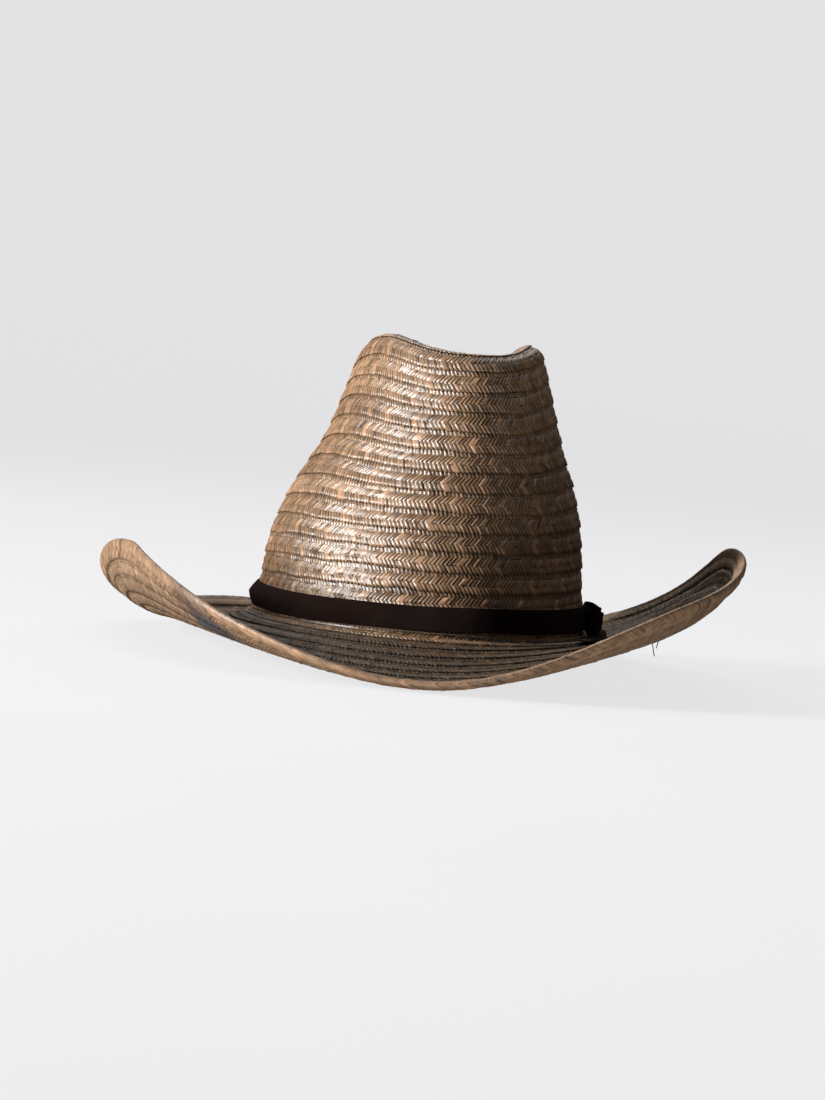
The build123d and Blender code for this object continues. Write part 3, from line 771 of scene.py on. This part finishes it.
def metal_material(name, dark, bright, roughness):
    """Drawn or crimped metal, tarnished in patches."""
    recipe = Recipe(name, Metallic=1.0)
    place = recipe.place()
    tarnish = recipe.noise(place, 160.0, 5.0)
    drawn = recipe.noise(recipe.stretched(place, (0.6, 0.6, 5.0)), 900.0, 3.0)
    recipe.colour(recipe.mix(recipe.ranged(tarnish, 0.35, 0.65), (*dark, 1), (*bright, 1)))
    recipe.roughness(recipe.ranged(tarnish, 0.3, 0.7, roughness + 0.15, roughness))
    recipe.normal(recipe.bump(drawn, 0.3, 0.00008))
    return recipe.material


# ---------------------------------------------------------------- crown, brim and rim of braid
STRAW_STOPS = [(0.10, (0.058, 0.028, 0.013)), (0.36, (0.136, 0.075, 0.036)),
               (0.62, (0.230, 0.137, 0.073)), (0.92, (0.43, 0.29, 0.175))]
BRIM_STOPS = [(0.10, (0.080, 0.045, 0.025)), (0.36, (0.150, 0.089, 0.051)),
              (0.62, (0.235, 0.147, 0.088)), (0.92, (0.40, 0.275, 0.178))]


def brim_place(beta_degrees, share):
    return brim_point(np.array(math.radians(beta_degrees)), np.array(share))


INK = (0.034, 0.033, 0.037, 1)
RUST = (0.05, 0.028, 0.018, 1)
BRIM_STAINS = [(brim_place(38, 0.79), 24.0, INK, 0.9), (brim_place(34, 0.92), 15.0, RUST, 0.5),
               (brim_place(176, 0.86), 11.0, RUST, 0.75), (brim_place(190, 0.93), 9.0, RUST, 0.6),
               (brim_place(166, 0.80), 9.0, RUST, 0.6)]


def finish_piece(piece, body, nodes, material):
    piece.data.materials.append(material)
    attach(piece, body)
    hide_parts(*nodes)


crown_braid = braid_strip("crown_braid", crown_surface, 0.0, CROWN_ROWS + FLARE, seed=11,
                          both_sides=False, inset=CROWN_INSET)
finish_piece(crown_braid, "hat", ["crown"],
             straw_material("crown_straw", STRAW_STOPS, 0.22, 0.0, 1.0))

brim_braid = braid_strip("brim_braid", brim_surface, -BRIM_TUCK, float(BRIM_ROWS), seed=12,
                         both_sides=True)
finish_piece(brim_braid, "hat", ["brim"],
             straw_material("brim_straw", BRIM_STOPS, 0.3, 0.4, 0.35, 0.42, BRIM_STAINS))

rim_braid = edge_braid("rim_braid", seed=13)
finish_piece(rim_braid, "hat", ["brim_edge_braid"],
             straw_material("rim_straw", BRIM_STOPS, 0.3, 0.1, 0.5, 0.8, BRIM_STAINS))


# ---------------------------------------------------------------- ribbon band
BAND_BOTTOM = 6.0
BAND_TOP = 18.6
BAND_LOWER_LEFT = 2.8
RIBBON_CLEARANCE = 0.5
RIBBON_THICKNESS = 0.7
CAD_RIBBON_THICKNESS = 0.9
RIBBON_COLOUR = (0.0065, 0.0021, 0.0014)
BAND_PUFF = 0.25                 # the band bulges this much all round
BAND_PUFF_LEFT = 3.2             # and this much more at the wearer's left,
BAND_PUFF_SPREAD = math.radians(32)      # fading away over this turn
ribbon_cloth = grosgrain_material("black_grosgrain", RIBBON_COLOUR)


def band_points(beta, height):
    """Points of the band, which lies lower on the wearer's left."""
    sway = 0.35 + waves(beta, 21, 0.3, (2, 5, 9))
    lower = BAND_LOWER_LEFT * smooth_step(-1, 1, np.cos(beta))
    return wall_point(beta, height - lower + waves(beta, 22, 0.25, (3, 7)), -RIBBON_CLEARANCE - sway)


around = np.linspace(0, 2 * math.pi, 480, endpoint=False)
to_left = (around + math.pi) % (2 * math.pi) - math.pi
lower_edge = band_points(around, BAND_BOTTOM)
upper_edge = band_points(around, BAND_TOP)
band_middle = (lower_edge + upper_edge) / 2
band_across = (upper_edge - lower_edge) / 2
band_along = np.roll(band_middle, -1, axis=0) - np.roll(band_middle, 1, axis=0)
band_piece = ribbon("ribbon_band", band_middle, band_across,
                    unit(np.cross(band_along, band_across)), RIBBON_THICKNESS, closed=True,
                    bulge=BAND_PUFF + BAND_PUFF_LEFT * np.exp(-(to_left / BAND_PUFF_SPREAD) ** 2))
finish_piece(band_piece, "ribbon_band", ["hatband"], ribbon_cloth)

# ---------------------------------------------------------------- bow
BOW_DIRECTION = math.radians(171)
BOW_STAND_OFF = 0.2
LOOP_BOTTOM = 5.2
LOOP_TOP = 18.8
LOOP_LENGTH = 27.0
LOOP_DEPTH = 8.6
LOOP_SHIFT = 1.3
LOOP_TURN = math.radians(8)
KNOT_BOTTOM = 4.9
KNOT_TOP = 18.0
KNOT_DEPTH = 7.4
KNOT_WIDTH = 10.4
KNOT_SQUARED = 0.75              # 1 is an oval loop and less is squarer
KNOT_THICKNESS = 0.9
TAIL_WIDTH = 10.6
TAIL_START_WIDTH = 0.75          # share of that width under the knot
TAIL_THICKNESS = 0.6
TAIL_FIRST_SHARE = 0.06
TAIL_LAST_SHARE = 0.10
TAIL_LIFT = 1.9
TAIL_DROP = 2.2
TAIL_CURL = 1.2
REAR_TAIL_TURN = math.radians(27)
FRONT_TAIL_TURN = math.radians(-13)
FRAYED_END = brim_point(BOW_DIRECTION - REAR_TAIL_TURN, np.array(TAIL_LAST_SHARE), TAIL_LIFT + TAIL_CURL)


def bow_frame(direction):
    """Origin of the bow at the band's outside, and its directions to the back, outwards and up."""
    origin = wall_point(direction, BAND_BOTTOM, -RIBBON_CLEARANCE - CAD_RIBBON_THICKNESS - BOW_STAND_OFF)
    origin[2] = HEAD_CENTRE[2]
    outwards = np.array([math.cos(direction), math.sin(direction), 0])
    back = np.array([math.sin(direction), -math.cos(direction), 0])
    return origin, back, outwards, np.array([0, 0, 1.0])


def placed(direction, x, y, z):
    origin, back, outwards, up = bow_frame(direction)
    return origin + np.multiply.outer(x, back) + np.multiply.outer(y, outwards) + np.multiply.outer(z, up)


def bow_loop(name, node, side):
    """Ribbon loop, gathered where the knot holds it and puffed out at its far end."""
    angle = np.linspace(0, 2 * math.pi, 96, endpoint=False)
    x = side * LOOP_SHIFT + np.cos(angle) * (LOOP_LENGTH - RIBBON_THICKNESS) / 2
    y = LOOP_DEPTH / 2 + np.sin(angle) * (LOOP_DEPTH - RIBBON_THICKNESS) / 2
    from_knot = (1 + side * np.cos(angle)) / 2
    gather = 0.62 + 0.38 * smooth_step(0.0, 0.45, from_knot)
    gather = gather * (1 - 0.4 * np.abs(y / LOOP_DEPTH * 2 - 1) ** 3)
    half = gather * (LOOP_TOP - LOOP_BOTTOM) / 2
    rise = (LOOP_TOP + LOOP_BOTTOM) / 2 + 0.25 * np.sin(2 * angle + side)
    direction = BOW_DIRECTION - side * LOOP_TURN
    middle = placed(direction, x, y, rise)
    along_loop = np.roll(middle, -1, axis=0) - np.roll(middle, 1, axis=0)
    leaning = placed(direction, x, y + 0.03 * half, rise + half)
    across = leaning - middle
    outwards = unit(np.cross(along_loop, across))
    piece = ribbon(name, middle, across, outwards, RIBBON_THICKNESS, closed=True)
    finish_piece(piece, "ribbon_band", [node], ribbon_cloth)
    return piece


rear_loop = bow_loop("bow_loop_rear_ribbon", "bow_loop_rear", 1)
front_loop = bow_loop("bow_loop_front_ribbon", "bow_loop_front", -1)


def squarish(wave):
    """Sine or cosine made squarer, so that the loop it draws has flatter sides."""
    return np.sign(wave) * np.abs(wave) ** KNOT_SQUARED


def knot_ribbon():
    """Short ribbon wrapped over the middle of the bow and round behind it."""
    angle = np.linspace(0, 2 * math.pi, 72, endpoint=False)
    x = 0.4 * np.sin(angle)
    y = KNOT_DEPTH / 2 + squarish(np.cos(angle)) * (KNOT_DEPTH / 2 - 0.5)
    z = (KNOT_TOP + KNOT_BOTTOM) / 2 + squarish(np.sin(angle)) * ((KNOT_TOP - KNOT_BOTTOM) / 2 - 0.4)
    middle = placed(BOW_DIRECTION, x, y, z)
    along_knot = np.roll(middle, -1, axis=0) - np.roll(middle, 1, axis=0)
    half = KNOT_WIDTH / 2 * (1 - 0.16 * np.cos(angle) ** 2)
    across = placed(BOW_DIRECTION, x + half, y - 0.05 * half, z + 0.12 * half) - middle
    outwards = unit(np.cross(along_knot, across))
    piece = ribbon("bow_knot_ribbon", middle, across, outwards, KNOT_THICKNESS, closed=True)
    finish_piece(piece, "ribbon_band", ["bow_knot"], ribbon_cloth)


knot_ribbon()
frayed_cloth = grosgrain_material("frayed_grosgrain", RIBBON_COLOUR, frayed_end=FRAYED_END)


def tail_ribbon(name, turn):
    """Tail of the bow, from under the knot out over the brim, curling up at its end."""
    run = np.linspace(0, 1, 60)
    beta = BOW_DIRECTION - turn * run
    share = TAIL_FIRST_SHARE + (TAIL_LAST_SHARE - TAIL_FIRST_SHARE) * run
    dropping = TAIL_DROP * (1 - smooth_step(0.0, 0.5, run))
    curling = TAIL_CURL * smooth_step(0.7, 1.0, run)
    lift = TAIL_LIFT + dropping + curling
    middle = brim_point(beta, share, lift)
    upwards = unit(brim_point(beta, share, lift + 1) - middle)
    wide = TAIL_WIDTH / 2 * (TAIL_START_WIDTH + (1 - TAIL_START_WIDTH) * smooth_step(0.0, 0.4, run))
    across = unit(np.cross(upwards, np.gradient(middle, axis=0))) * wide[:, None]
    piece = ribbon(name, middle, across, upwards, TAIL_THICKNESS, closed=False)
    finish_piece(piece, "ribbon_band", ["bow_tails"], frayed_cloth)


tail_ribbon("bow_tail_rear", REAR_TAIL_TURN)
tail_ribbon("bow_tail_front", FRONT_TAIL_TURN)

# ---------------------------------------------------------------- CAD nodes that keep their shape
CAD_LOOKS = {
    "sweatband": leather_material("worn_leather"),
    "sweatband_reed": reed_material("reed_plastic"),
    "sweatband_seam_tape": tape_material("seam_tape_weave"),
    "brim_wire": metal_material("drawn_steel", (0.30, 0.29, 0.28), (0.55, 0.54, 0.53), 0.32),
    "wire_joiner": metal_material("crimped_brass", (0.34, 0.22, 0.08), (0.62, 0.45, 0.20), 0.3),
    "headline_stitches": thread_material("headline_thread", (0.05, 0.032, 0.02), (0.16, 0.11, 0.07)),
    "edge_stitches": thread_material("edge_thread", (0.22, 0.15, 0.08), (0.44, 0.33, 0.20)),
    "sweatband_stitches": thread_material("sweatband_thread", (0.28, 0.22, 0.14), (0.5, 0.42, 0.3)),
    "loose_threads": thread_material("black_thread", (0.012, 0.011, 0.010), (0.035, 0.03, 0.027)),
}
for node_name, look in CAD_LOOKS.items():
    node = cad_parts[node_name]
    node.data.materials.clear()
    node.data.materials.append(look)

# ---------------------------------------------------------------- stage: floor, light and camera
FLOOR_RADIUS = 3.6
FLOOR_CURVE = 1.4
WALL_HEIGHT = 3.2


def studio_floor():
    """Round pale floor that curves up into a wall on all sides."""
    profile = [(radius, 0.0) for radius in (0.001, 0.5, 1.2, 2.2, FLOOR_RADIUS - 0.6, FLOOR_RADIUS)]
    steps = 12
    for step in range(1, steps + 1):
        angle = math.pi / 2 * step / steps
        profile.append((FLOOR_RADIUS + FLOOR_CURVE * math.sin(angle), FLOOR_CURVE * (1 - math.cos(angle))))
    profile.append((FLOOR_RADIUS + FLOOR_CURVE, WALL_HEIGHT))
    turns = np.linspace(0, 2 * math.pi, 96, endpoint=False)
    points = np.array([[(radius * math.cos(turn), radius * math.sin(turn), height)
                        for radius, height in profile] for turn in turns])
    count = len(profile)
    quads = ring_quads(len(turns), count, True).reshape(len(turns), count, 4)[:, :-1].reshape(-1, 4)
    return fast_object("studio_floor", points.reshape(-1, 3) / MM, quads[:, ::-1])


floor = studio_floor()
paper = Recipe("pale_paper", Specular_IOR_Level=0.1, Emission_Color=(1.0, 1.0, 1.02, 1),
               Emission_Strength=0.74)
paper.colour(paper.mix(paper.ranged(paper.noise(paper.place(), 3.0, 2.0), 0.3, 0.7, 0.0, 1.0),
                       (0.09, 0.09, 0.091, 1), (0.10, 0.10, 0.101, 1)))
paper.roughness(0.9)
floor.data.materials.append(paper.material)

# The floor glows by itself: it lights nothing, and the light under it shines through it.
floor.visible_diffuse = False
floor.visible_glossy = False
floor.visible_shadow = False

TARGET = Vector(HEAD_CENTRE * MM)
CAMERA_TURN = math.radians(-9.219)
CAMERA_RISE = math.radians(4.0275)
CAMERA_ROLL = math.radians(5.1586)
CAMERA_DISTANCE = 2.2
CAMERA_LENS = 136.33
CAMERA_SHIFT = (-0.00493, 0.0677)
right = Vector((-math.cos(CAMERA_TURN), -math.sin(CAMERA_TURN), 0))
towards = Vector((-math.sin(CAMERA_TURN) * math.cos(CAMERA_RISE),
                  math.cos(CAMERA_TURN) * math.cos(CAMERA_RISE),
                  math.sin(CAMERA_RISE)))
upright = towards.cross(right)
camera = bpy.data.objects.new("camera", bpy.data.cameras.new("camera"))
camera_x = right * math.cos(CAMERA_ROLL) + upright * math.sin(CAMERA_ROLL)
camera_y = upright * math.cos(CAMERA_ROLL) - right * math.sin(CAMERA_ROLL)
turn = Matrix((camera_x, camera_y, towards)).transposed().to_4x4()
camera.matrix_world = Matrix.Translation(TARGET + towards * CAMERA_DISTANCE) @ turn
camera.data.lens = CAMERA_LENS
camera.data.sensor_width = 36.0
camera.data.shift_x, camera.data.shift_y = CAMERA_SHIFT
camera.data.clip_start = 0.05
bpy.context.scene.collection.objects.link(camera)
bpy.context.scene.camera = camera


LIT_MIDDLE = TARGET + Vector((0, 0, 0.06))


def soft_box(name, leftwards, forwards, height, width, tall, power, colour, aim=LIT_MIDDLE):
    """Area light placed to the left of the camera's view, towards the camera and up, in metres."""
    level = Vector((towards.x, towards.y, 0)).normalized()
    place = TARGET - right * leftwards + level * forwards
    place.z = height
    light = bpy.data.lights.new(name, "AREA")
    light.shape = "RECTANGLE"
    light.size = width
    light.size_y = tall
    light.energy = power
    light.color = colour
    lamp = bpy.data.objects.new(name, light)
    lamp.location = place
    lamp.rotation_euler = (place - aim).to_track_quat("Z", "Y").to_euler()
    lamp.visible_camera = False
    bpy.context.scene.collection.objects.link(lamp)


soft_box("key", leftwards=1.86, forwards=0.83, height=0.42, width=0.5, tall=1.1,
         power=148, colour=(1.0, 0.985, 0.965))
soft_box("floor_bounce", leftwards=-0.2, forwards=1.0, height=-0.9, width=1.5, tall=1.5,
         power=22, colour=(1.0, 0.96, 0.90), aim=TARGET)
soft_box("overhead", leftwards=-0.6, forwards=0.1, height=2.0, width=1.4, tall=1.4,
         power=8, colour=(0.97, 0.985, 1.0))
soft_box("behind", leftwards=0.7, forwards=-0.9, height=1.7, width=0.9, tall=0.9,
         power=12, colour=(1.0, 0.99, 0.97))
soft_box("front_fill", leftwards=-0.2, forwards=-1.3, height=1.6, width=1.4, tall=1.2,
         power=9, colour=(1.0, 0.98, 0.95))

world = bpy.data.worlds.new("studio")
bpy.context.scene.world = world
world.use_nodes = True
world.node_tree.nodes["Background"].inputs["Color"].default_value = (1.0, 0.97, 0.93, 1)
world.node_tree.nodes["Background"].inputs["Strength"].default_value = 0.075
bpy.context.scene.view_settings.view_transform = "Standard"
